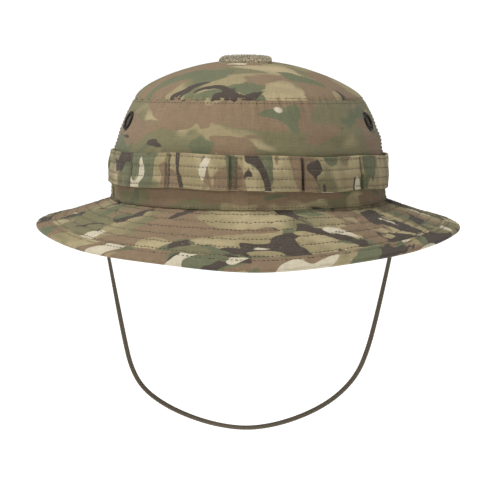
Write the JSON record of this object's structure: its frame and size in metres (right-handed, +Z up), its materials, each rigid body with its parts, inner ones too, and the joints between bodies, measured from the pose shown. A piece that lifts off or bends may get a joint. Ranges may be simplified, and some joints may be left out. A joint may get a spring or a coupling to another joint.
{
  "type": "boonie hat",
  "caption": "Soft wide-brimmed field hat with a looped band round the crown, screened side vents, a loop-pile square on top and a hanging braided chin strap.",
  "frame": {"origin": "centre of the head opening, in the plane of the seam between crown and brim", "axes": "+Z up through the crown, the front of the hat faces -Y, +X to the wearer's left"},
  "size_m": [0.2904, 0.2926, 0.2621],
  "materials": {
    "printed_cloth": null,
    "interlining": "matte stiffened cloth",
    "sweatband_tape": "matte woven tape",
    "thread": "matte thread",
    "loop_pile": "matte fuzzy pile",
    "braid": "matte braided cord",
    "dark_metal": "satin black",
    "screen_mesh": "satin dark brown"
  },
  "bodies": {
    "hat": {"crown_top_panel": "printed_cloth", "crown_side_front": "printed_cloth", "crown_side_back": "printed_cloth", "brim_top": "printed_cloth", "brim_underlayer": "printed_cloth", "brim_binding": "printed_cloth", "foliage_band": "printed_cloth", "brim_interlining": "interlining", "sweatband": "sweatband_tape", "foliage_band_bartacks": "thread", "loop_patch": "loop_pile", "chin_strap_tab_left": "sweatband_tape", "chin_strap_tab_right": "sweatband_tape", "vent_eyelet_1": "dark_metal", "vent_screen_1": "screen_mesh", "vent_washer_1": "dark_metal", "vent_eyelet_2": "dark_metal", "vent_screen_2": "screen_mesh", "vent_washer_2": "dark_metal", "vent_eyelet_3": "dark_metal", "vent_screen_3": "screen_mesh", "vent_washer_3": "dark_metal", "vent_eyelet_4": "dark_metal", "vent_screen_4": "screen_mesh", "vent_washer_4": "dark_metal"},
    "chin_strap": {"chin_strap": "braid"}
  },
  "joints": [
    {"name": "chin_strap_swing", "type": "hinge", "parent": "hat", "child": "chin_strap", "pos_m": [0, 0, -0.008], "axis": [1, 0, 0], "range_deg": [-65, 65]}
  ]
}
